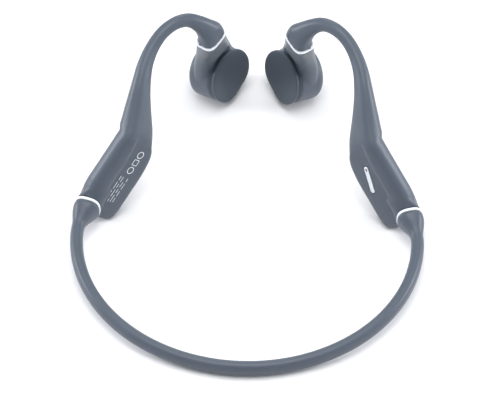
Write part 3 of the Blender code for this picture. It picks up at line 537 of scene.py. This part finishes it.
def makeBand(side, prefix):
    count = 90
    rings = []
    for k in range(count + 1):
        centre, _, across, flare = sleeveFrame(-90 + (loop["bootAngle"] + 90) * k / count)
        wide = loop["halfWide"] + (loop["bootHalfWide"] - loop["halfWide"]) * flare
        tall = loop["halfTall"] + (loop["bootHalfTall"] - loop["halfTall"]) * flare
        squareness = loop["squareness"] + (loop["bootSquareness"] - loop["squareness"]) * flare
        rings.append(mirrorPoints(ringAt(centre, across, loopNormal, wide * mm, tall * mm, squareness), side))
    item = skinPiece(prefix + "BandSkin", rings, silicone, (False, True))
    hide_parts(prefix + "_side_sleeve")
    if side > 0:
        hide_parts("neckband_sleeve")
    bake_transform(item)
    return item


bootRing = {"start": 0.3, "thick": 1.1, "proud": 0.08, "bore": 1.9, "round": 0.3}


def roundedBand(name, centreAt, across, through, halfWide, halfTall, squareness, ring, side):
    # a flat ring with rounded outer edges, drawn as one closed skin round its own section
    half = ring["thick"] / 2
    section = []
    for k in range(5):
        turn = math.pi / 2 * k / 4
        section.append((ring["round"] * (1 - math.cos(turn)) - half, ring["round"] * (math.sin(turn) - 1)))
    section += [(-along, drop) for along, drop in reversed(section)]
    rings = [
        ringAt(centreAt(along), across, through, (halfWide + drop) * mm, (halfTall + drop) * mm, squareness)
        for along, drop in section
    ]
    bore = ring["bore"] * mm
    for along in (half, -half):
        rings.append(ringAt(centreAt(along), across, through, bore, bore, 2.0))
    rings = [mirrorPoints(points, side) for points in rings]
    item = ringPiece(name, rings, whitePolycarbonate)
    crease(item)
    return item


def makeBootRing(side, prefix, arm):
    centre, heading, across, _ = sleeveFrame(loop["bootAngle"])
    middle = bootRing["start"] + bootRing["thick"] / 2
    item = roundedBand(
        prefix + "BootRing",
        lambda along: centre + heading * ((middle + along) * mm),
        across,
        loopNormal,
        loop["bootHalfWide"] + bootRing["proud"],
        loop["bootHalfTall"] + bootRing["proud"],
        loop["bootSquareness"],
        bootRing,
        side,
    )
    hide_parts(prefix + "_boot_ring")
    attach(item, arm)


slab = {
    "rise": 43.0,
    "toeIn": 46.0,
    "roll": 12.0,
    "footAlong": 2.18,
    "footBack": -4.38,
    "footIn": -1.87,
    "length": 29.0,
    "halfWidth": 9.4,
    "halfThick": 4.7,
    "squareness": 3.6,
    "face": 0.86,
    "chinDrop": 4.0,
    "chinShift": 3.4,
    "voxel": 0.32,  # mm between the points of the melted skin
    "ease": 6,
    "seatSpan": 24,  # degrees of the loop kept clear round the boot
    # share of the length, and how far the front edge is drawn back there
    "shoulder": ((0.3, 0.0), (0.6, 0.1), (0.82, 1.1), (0.93, 2.6), (1.0, 4.4)),
    # share of the chin's drop, shift, half width and half thickness
    "chin": (
        (-1.0, 1.0, 0.22, 0.3),
        (-0.84, 0.94, 0.46, 0.62),
        (-0.45, 0.72, 0.67, 0.83),
        (0.2, 0.38, 0.86, 0.95),
        (1.1, 0.08, 0.97, 1.0),
        (2.2, 0.0, 1.0, 1.0),
    ),
}
collar = {"along": 9.0, "back": 4.2, "halfWide": 4.8, "halfTall": 3.9}  # where it ends inside the slab
rise, toeIn, roll = (math.radians(slab[key]) for key in ("rise", "toeIn", "roll"))
slabAlong = Vector((-math.cos(rise) * math.sin(toeIn), math.cos(rise) * math.cos(toeIn), math.sin(rise)))
uprightIn = Vector((-math.cos(toeIn), -math.sin(toeIn), 0.0))
slabIn = uprightIn * math.cos(roll) + slabAlong.cross(uprightIn) * math.sin(roll)
slabBack = slabAlong.cross(slabIn)


def slabPoint(along, back=0.0, inwards=0.0):
    along += slab["footAlong"]
    back += slab["footBack"]
    inwards += slab["footIn"]
    return loopPoint(loop["bootAngle"])[0] + (slabAlong * along + slabBack * back + slabIn * inwards) * mm


slabTop = slabPoint(slab["length"])

hook = {
    # the centre from the slab's top in mm, half width, half thickness, squareness, and the inner side's heading
    "stations": (
        (1.2, 3.2, 4.8, 6.6, 4.5, 2.7, 45),
        (0.8, 6.8, 8.6, 5.7, 4.2, 2.3, 50),
        (0.3, 10.4, 12.4, 4.9, 3.7, 2.1, 56),
        (-0.4, 14.4, 16.2, 4.1, 3.2, 2.0, 60),
        (-1.5, 19.0, 19.7, 3.3, 2.8, 2.0, 60),
        (-3.7, 24.0, 22.8, 2.7, 2.5, 2.0, 60),
        (-7.0, 28.6, 25.5, 2.4, 2.4, 2.0, 58),
        (-11.3, 32.4, 26.7, 2.4, 2.4, 2.0, 56),
        (-15.7, 35.1, 25.8, 2.6, 2.5, 2.0, 56),
        (-19.4, 36.0, 23.4, 3.0, 2.7, 2.2, 56),
        (-22.2, 36.3, 20.4, 3.9, 3.2, 2.5, 56),
        (-23.6, 36.4, 18.1, 4.9, 3.8, 2.9, 56),
        (-24.1, 36.3, 15.9, 5.4, 4.1, 3.2, 56),
    ),
    "seam": (-24.2, 36.4, 15.0),
    "seamHeading": (-0.1, 0.12, -0.99),
    "ringThick": 1.1,
    "gap": 0.3,
}
seamHeading = Vector(hook["seamHeading"]).normalized()
seamCentre = slabTop + Vector(hook["seam"]) * mm


def sideways(heading, ahead):
    # the inner side and the width of a hook section that runs ahead
    turn = math.radians(heading)
    inwards = Vector((-math.sin(turn), -math.cos(turn), 0.0))
    inwards = (inwards - ahead * inwards.dot(ahead)).normalized()
    return ahead.cross(inwards), inwards


def stationRows(origin, stations):
    centres = [origin + Vector(row[:3]) * mm for row in stations]
    rows = []
    for i, row in enumerate(stations):
        ahead = (centres[min(i + 1, len(centres) - 1)] - centres[max(i - 1, 0)]).normalized()
        across, inwards = sideways(row[6], ahead)
        rows.append([*centres[i], *across, *inwards, row[3], row[4], row[5], flatFace["none"]])
    return rows


def seamRow(step):
    last = hook["stations"][-1]
    across, inwards = sideways(last[6], seamHeading)
    centre = seamCentre + seamHeading * (step * mm)
    return [*centre, *across, *inwards, last[3], last[4], last[5], flatFace["none"]]


def rowRings(rows, side, count=56):
    rings = []
    for row in rows:
        centre, across, inwards = Vector(row[:3]), Vector(row[3:6]).normalized(), Vector(row[6:9])
        inwards = (inwards - across * inwards.dot(across)).normalized()
        face = row[12] if row[12] < flatFace["ends"] else None
        ring = ringAt(centre, across, inwards, row[9] * mm, row[10] * mm, row[11], face, count)
        rings.append(mirrorPoints(ring, side))
    return rings


def slabRows():
    rows = []
    for drop, shift, wide, thick in slab["chin"]:
        centre = slabPoint(drop * slab["chinDrop"], -shift * slab["chinShift"])
        rows.append((centre, wide * slab["halfWidth"], thick * slab["halfThick"]))
    for share, drawn in slab["shoulder"]:
        centre = slabPoint(slab["length"] * share, drawn / 2)
        rows.append((centre, slab["halfWidth"] - drawn / 2, slab["halfThick"]))
    return [[*c, *slabBack, *slabIn, w, t, slab["squareness"], slab["face"]] for c, w, t in rows]


def collarRings(side):
    # the collar that runs from the white ring into the slab
    centre, heading, sideRing, _ = sleeveFrame(loop["bootAngle"])
    start = centre + heading * ((2 * bootRing["start"] + bootRing["thick"]) * mm)
    target = slabPoint(collar["along"], collar["back"])
    rings = []
    for k in range(9):
        share = k / 8
        at = start + (target - start) * share
        across = sideRing.lerp(slabBack, share).normalized()
        through = loopNormal.lerp(slabIn, share)
        through = (through - across * through.dot(across)).normalized()
        wide = loop["bootHalfWide"] + (collar["halfWide"] - loop["bootHalfWide"]) * share
        tall = loop["bootHalfTall"] + (collar["halfTall"] - loop["bootHalfTall"]) * share
        ring = ringAt(at, across, through, wide * mm, tall * mm, loop["bootSquareness"])
        rings.append(mirrorPoints(ring, side))
    return rings


def seatRings(side):
    # the room kept round the boot, up to the far side of the white ring
    frames = [sleeveFrame(loop["bootAngle"] - slab["seatSpan"] * (1 - k / 12)) for k in range(13)]
    centre, heading, across, _ = frames[-1]
    end = centre + heading * ((2 * bootRing["start"] + bootRing["thick"]) * mm)
    frames.append((end, heading, across, 1.0))
    wide = loop["bootHalfWide"] + bootRing["start"]
    tall = loop["bootHalfTall"] + bootRing["start"]
    rings = []
    for centre, _, across, _ in frames:
        ring = ringAt(centre, across, loopNormal, wide * mm, tall * mm, loop["bootSquareness"])
        rings.append(mirrorPoints(ring, side))
    return rings


def stadiumRings(centre, lengthwise, crosswise, outward, length, width, heights, side, count=14):
    radius = width / 2
    run = length / 2 - radius
    rings = []
    for height, grow in heights:
        ring = []
        for end in (1, -1):
            for k in range(count):
                turn = math.pi * k / (count - 1) - math.pi / 2
                x = end * (run + (radius + grow) * math.cos(turn))
                y = end * (radius + grow) * math.sin(turn)
                ring.append(centre + (lengthwise * x + crosswise * y + outward * height) * mm)
        rings.append(mirrorPoints(ring, side))
    return rings


strip = {
    "along": 17.3,
    "back": -1.5,
    "length": 10.9,
    "width": 2.0,
    "turn": 20.0,
    "gap": 0.22,
    "depth": 1.0,
    "cutTo": 2.0,  # how far above the face its pocket's cutter reaches
}
volumeKeys = {
    "places": (10.0, 18.6),
    "length": 6.4,
    "width": 3.0,
    "proud": 0.5,
    "deep": 1.7,
    "gap": 0.28,
    "cutTo": 3.0,
    "sunk": 1.1,  # how far the key reaches into its pocket
    "markLength": 1.7,
    "markWidth": 0.34,
}
faceHeight = slab["face"] * slab["halfThick"]


def stripFrame():
    turn = math.radians(strip["turn"])
    lengthwise = slabAlong * math.cos(turn) + slabBack * math.sin(turn)
    return slabPoint(strip["along"], strip["back"], faceHeight), lengthwise, slabIn.cross(lengthwise)


def makeArmSkin(side, prefix, arm):
    rows = slabRows()
    rows += stationRows(slabTop, hook["stations"][:-1])
    rows.append(seamRow(-hook["gap"] - hook["ringThick"] / 2))
    item = skinPiece(prefix + "ArmSkin", rowRings(splineRows(rows, 5), side), silicone)
    gather(item, skinPiece("collar", collarRings(side), silicone))
    melt(item, slab["voxel"], slab["ease"])
    seat = skinPiece("seat", seatRings(side), silicone)
    carve(item, [seat])
    pockets = []
    if side > 0:
        centre, lengthwise, crosswise = stripFrame()
        heights = ((-strip["depth"], strip["gap"]), (strip["cutTo"], strip["gap"]))
        rings = stadiumRings(centre, lengthwise, crosswise, slabIn, strip["length"], strip["width"], heights, side)
        pockets.append(skinPiece("stripPocket", rings, silicone))
        for place in volumeKeys["places"]:
            centre = slabPoint(place, -slab["halfWidth"])
            heights = ((-volumeKeys["deep"], volumeKeys["gap"]), (volumeKeys["cutTo"], volumeKeys["gap"]))
            rings = stadiumRings(
                centre, slabAlong, slabIn, -slabBack, volumeKeys["length"], volumeKeys["width"], heights, side
            )
            pockets.append(skinPiece("keyPocket", rings, silicone))
    if pockets:
        carve(item, pockets)
    crease(item)
    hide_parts(prefix + "_housing_shell", prefix + "_housing_cover", prefix + "_hook_sleeve")
    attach(item, arm)
    return item


podRing = {"thick": 1.1, "round": 0.25, "proud": 0.06, "bore": 1.9}


def makePodRing(side, prefix, arm):
    row = seamRow(0.0)
    item = roundedBand(
        prefix + "PodRing",
        lambda along: seamCentre + seamHeading * (along * mm),
        Vector(row[3:6]),
        Vector(row[6:9]),
        row[9] + podRing["proud"],
        row[10] + podRing["proud"],
        row[11],
        podRing,
        side,
    )
    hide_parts(prefix + "_pod_ring")
    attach(item, arm)


pod = {
    "offset": (-7.5, 8.6, -31.1),
    "turn": 35.0,
    "lookUp": 16.0,
    "radius": 10.4,
    "flat": 0.27,
    "flatAt": 250.0,
    "flatSpread": 45.0,
    "padThick": 1.5,
    "front": 1.95,
    "deep": 11.6,
    "drumRadius": 10.3,
    "faceRadius": 7.7,
    # how far above the pad's middle and across it, half width, where front and back lie behind its face, squareness
    "neck": (
        (17.5, 4.6, 6.9, -3.2, 5.4, 2.9),
        (10.5, 1.6, 8.4, 1.0, 9.8, 2.7),
        (2.0, 0.0, 9.9, 2.4, 13.0, 2.5),
    ),
    "lipRadius": 11.3,
    "lipDepth": 1.0,
    "groove": 1.35,
    "voxel": 0.3,
    "recessGap": 0.4,
    "cutTo": 6.0,
}
podKey = {
    "pocketRadius": 5.5,
    "pocketDeep": 1.9,
    "cutTo": 4.0,
    # height from the drum's back and radius, from the buried end to the middle of the outer face
    "shape": (
        (-1.35, 5.2),
        (0.2, 5.2),
        (0.4, 5.1),
        (0.5, 4.85),
        (0.5, 4.4),
        (0.38, 3.6),
        (0.28, 2.4),
        (0.24, 1.2),
        (0.23, 0.15),
    ),
}
padCentre = seamCentre + Vector(pod["offset"]) * mm
turnBack, lookUp = math.radians(pod["turn"]), math.radians(pod["lookUp"])
padLook = Vector((-math.cos(turnBack) * math.cos(lookUp), -math.sin(turnBack) * math.cos(lookUp), math.sin(lookUp)))
padAcross = Vector((0.0, 0.0, 1.0)).cross(padLook).normalized()
padUp = padLook.cross(padAcross)


def podOutline(depth, radius, side, count=72):
    points = []
    for k in range(count):
        turn = 2 * math.pi * k / count
        away = (turn - math.radians(pod["flatAt"])) / math.radians(pod["flatSpread"])
        reach = radius * (1 - pod["flat"] * math.exp(-away * away))
        along = padAcross * (reach * math.cos(turn)) + padUp * (reach * math.sin(turn)) - padLook * depth
        points.append(padCentre + along * mm)
    return mirrorPoints(points, side)


def podCircle(depth, radius, side, count=64):
    points = []
    for k in range(count):
        turn = 2 * math.pi * k / count
        along = padAcross * (radius * math.cos(turn)) + padUp * (radius * math.sin(turn)) - padLook * depth
        points.append(padCentre + along * mm)
    return mirrorPoints(points, side)


def neckRows():
    rows = [seamRow(hook["ringThick"] / 2 + hook["gap"])]
    for up, across, halfWide, front, back, squareness in pod["neck"]:
        halfDeep = (back - front) / 2
        centre = padCentre + (padAcross * across + padUp * up - padLook * (front + halfDeep)) * mm
        rows.append([*centre, *-padAcross, *padLook, halfWide, halfDeep, squareness, flatFace["none"]])
    return rows


def makePod(side, prefix, arm):
    edge = pod["drumRadius"] - pod["faceRadius"]
    back = pod["front"] + pod["deep"]
    shape = [(pod["front"], pod["drumRadius"] - 0.9), (pod["front"] + 0.7, pod["drumRadius"] - 0.9)]
    shape.append((pod["front"] + 1.3, pod["drumRadius"] - 0.1))
    shape.append((pod["front"] + 2.2, pod["drumRadius"]))
    for k in range(9):
        turn = math.pi / 2 * k / 8
        shape.append((back - edge + edge * math.sin(turn), pod["faceRadius"] + edge * math.cos(turn)))
    rings = [podOutline(depth, radius, side) for depth, radius in shape]
    item = skinPiece(prefix + "PodSkin", rings, silicone)
    rings = rowRings(splineRows(neckRows(), 8), side)
    gather(item, skinPiece("neck", rings, silicone))
    melt(item, pod["voxel"], 8)
    # a groove runs round the pad's lip where the neck would stand in front of it
    channel = []
    for k in range(13):
        turn = 2 * math.pi * k / 12
        depth = pod["lipDepth"] - 0.5 + pod["groove"] * math.cos(turn)
        channel.append(podOutline(depth, pod["lipRadius"] + pod["groove"] * math.sin(turn), side))
    carve(item, [ringPiece("channel", channel[:-1], silicone)])
    melt(item, pod["voxel"], 6)
    depths = (-pod["cutTo"], pod["front"] - 0.15)
    recess = [podOutline(depth, pod["radius"] + pod["recessGap"], side) for depth in depths]
    carve(item, [skinPiece("recess", recess, silicone)])
    if side < 0:
        depths = (back - podKey["pocketDeep"], back + podKey["cutTo"])
        rings = [podCircle(depth, podKey["pocketRadius"], side) for depth in depths]
        carve(item, [skinPiece("keyPocket", rings, silicone)])
    crease(item)
    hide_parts(prefix + "_pod_shell")
    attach(item, arm)


pad = {"rim": 0.55, "dish": 0.12, "flatTo": 0.88}  # flatTo: where the dished face gives way to the rim


def makePad(side, prefix, body):
    thick = pod["padThick"]
    shape = []
    for share in (0.0, 0.3, 0.55, 0.75, pad["flatTo"]):
        depth = pad["dish"] * (1 - (share / pad["flatTo"]) ** 2)
        shape.append((depth, (pod["radius"] - pad["rim"]) * max(share, 0.02) / pad["flatTo"]))
    for k in range(1, 7):
        turn = math.pi / 2 * k / 6
        shape.append((pad["rim"] * (1 - math.cos(turn)), pod["radius"] - pad["rim"] * (1 - math.sin(turn))))
    shape.append((thick - 0.3, pod["radius"]))
    shape.append((thick, pod["radius"] - 0.3))
    rings = [podOutline(depth, radius, side) for depth, radius in shape]
    item = skinPiece(prefix + "PadSkin", rings, padSilicone)
    crease(item)
    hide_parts(prefix + "_pad")
    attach(item, body)


def makeVolumeKeys():
    proud = volumeKeys["proud"]
    names = ("volume_down_button", "volume_up_button")
    # height from the edge and how far the outline is drawn in, from the buried end to the dished top
    heights = ((-volumeKeys["sunk"], 0.0), (proud - 0.5, 0.0), (proud - 0.3, -0.05), (proud - 0.12, -0.18))
    heights += ((proud - 0.02, -0.45), (proud, -0.8), (proud - 0.05, -1.35))
    size = (volumeKeys["length"], volumeKeys["width"])
    barSize = (volumeKeys["markLength"], volumeKeys["markWidth"])
    for place, name, sign in zip(volumeKeys["places"], names, ("minus", "plus")):
        centre = slabPoint(place, -slab["halfWidth"])
        rings = stadiumRings(centre, slabAlong, slabIn, -slabBack, *size, heights, 1, 16)
        item = skinPiece(sign + "Key", rings, keySilicone)
        crease(item)
        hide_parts(name)
        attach(item, name)
        bars = ((slabAlong, slabIn), (slabIn, -slabAlong))[: 1 if sign == "minus" else 2]
        for index, (lengthwise, crosswise) in enumerate(bars):
            start = proud - 0.12 + 0.01 * index
            ridge = ((start, 0.0), (start + 0.2, 0.0), (start + 0.25, -0.06))
            rings = stadiumRings(centre, lengthwise, crosswise, -slabBack, *barSize, ridge, 1, 8)
            mark = skinPiece(f"{sign}Mark{index}", rings, keySilicone)
            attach(mark, name)


def makePodKey():
    back = pod["front"] + pod["deep"]
    rings = [podCircle(back + height, radius, -1) for height, radius in podKey["shape"]]
    item = skinPiece("podKey", rings, keySilicone)
    crease(item)
    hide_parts("multifunction_button")
    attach(item, "multifunction_button")


# place and size of the painted shade patch that stands for the hole in the strip
holeShadePatch = {"along": 4.1, "length": 1.25, "width": 0.7}


def makeStrip():
    centre, lengthwise, crosswise = stripFrame()
    heights = ((-0.9, 0.0), (-0.1, 0.0), (0.02, -0.05), (0.06, -0.18), (0.07, -0.5), (0.07, -0.8))
    rings = stadiumRings(centre, lengthwise, crosswise, slabIn, strip["length"], strip["width"], heights, 1, 16)
    item = skinPiece("contactStrip", rings, satinSilver)
    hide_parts("charging_strip")
    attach(item, "right_arm")
    # a thin dark grey patch on the strip stands for the small hole: painted shade where the hole's depth would look
    # dark
    holeCentre = centre + lengthwise * (holeShadePatch["along"] * mm)
    heights = ((-0.2, 0.0), (0.075, 0.0), (0.085, -0.05))
    size = (holeShadePatch["length"], holeShadePatch["width"])
    rings = stadiumRings(holeCentre, lengthwise, crosswise, slabIn, *size, heights, 1, 10)
    hole = skinPiece("holeShadePatch", rings, holeShadeGrey)
    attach(hole, "right_arm")


marks = {
    "start": 3.6,
    "end": 15.4,
    "back": 1.1,
    "rows": 4,
    "rowStep": 1.25,
    "dashes": (2.6, 1.5, 3.1, 1.9, 2.3),
    "dashWidth": 0.28,
    "dashGap": 0.7,
    "outlines": ((17.9, "ring"), (21.3, "square"), (24.6, "ring")),
    "outlineBack": -1.1,
    "outer": 1.5,
    "inner": 1.15,
    "lift": 0.03,  # the ink stands this far off the silicone
}


def makeMarks():
    # rows of plain printed dashes and three plain outlines on the left housing, with no letters in them
    form = bmesh.new()
    height = faceHeight + marks["lift"]

    def tile(corners):
        points = mirrorPoints([slabPoint(along, back, height) for along, back in corners], -1)
        form.faces.new([form.verts.new(point) for point in points])

    for row in range(marks["rows"]):
        along = marks["start"] + 0.2 * row
        back = marks["back"] - row * marks["rowStep"]
        for k in range(5 - (row % 2)):
            length = marks["dashes"][(row + k) % len(marks["dashes"])]
            if along + length > marks["end"]:
                break
            far = back + marks["dashWidth"]
            tile(((along, back), (along + length, back), (along + length, far), (along, far)))
            along += length + marks["dashGap"]
    for along, kind in marks["outlines"]:
        for k in range(24):
            first, second = (2 * math.pi * (k + step) / 24 for step in (0, 1))
            corners = []
            for turn, reach in (
                (first, marks["outer"]),
                (second, marks["outer"]),
                (second, marks["inner"]),
                (first, marks["inner"]),
            ):
                c, s = math.cos(turn), math.sin(turn)
                if kind == "square":
                    scale = 0.86 / max(abs(c), abs(s)) ** 0.9
                    c, s = c * scale, s * scale
                corners.append((along + c * reach, marks["outlineBack"] + s * reach))
            tile(corners)
    item = addPiece("printedMarks", form, ink)
    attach(item, "left_arm")


for side, prefix in ((1, "right"), (-1, "left")):
    arm = prefix + "_arm"
    makeBand(side, prefix)
    makeBootRing(side, prefix, arm)
    makeArmSkin(side, prefix, arm)
    makePodRing(side, prefix, arm)
    makePod(side, prefix, arm)
    makePad(side, prefix, prefix + "_transducer")
    print(prefix, "arm made")
makeVolumeKeys()
makePodKey()
makeStrip()
makeMarks()
print("keys, strip and marks made")


finishes = [
    (("_wire",), drawnTitanium),
    (("_cable",), jacket),
    (("_carrier",), blackAbs),
    (("_coil",), copper),
    (("battery",), foil),
    (("_board",), board),
    (("antenna", "charging_magnets", "magnet"), satinSilver),
    (("_shield", "_anchor", "_plate", "_yoke", "_switch"), platedSteel),
]
for name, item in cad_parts.items():
    if item.hide_render:
        continue
    for endings, material in finishes:
        if name.endswith(endings):
            item.data.materials.clear()
            item.data.materials.append(material)
            break
    else:
        print("no finish for", name)
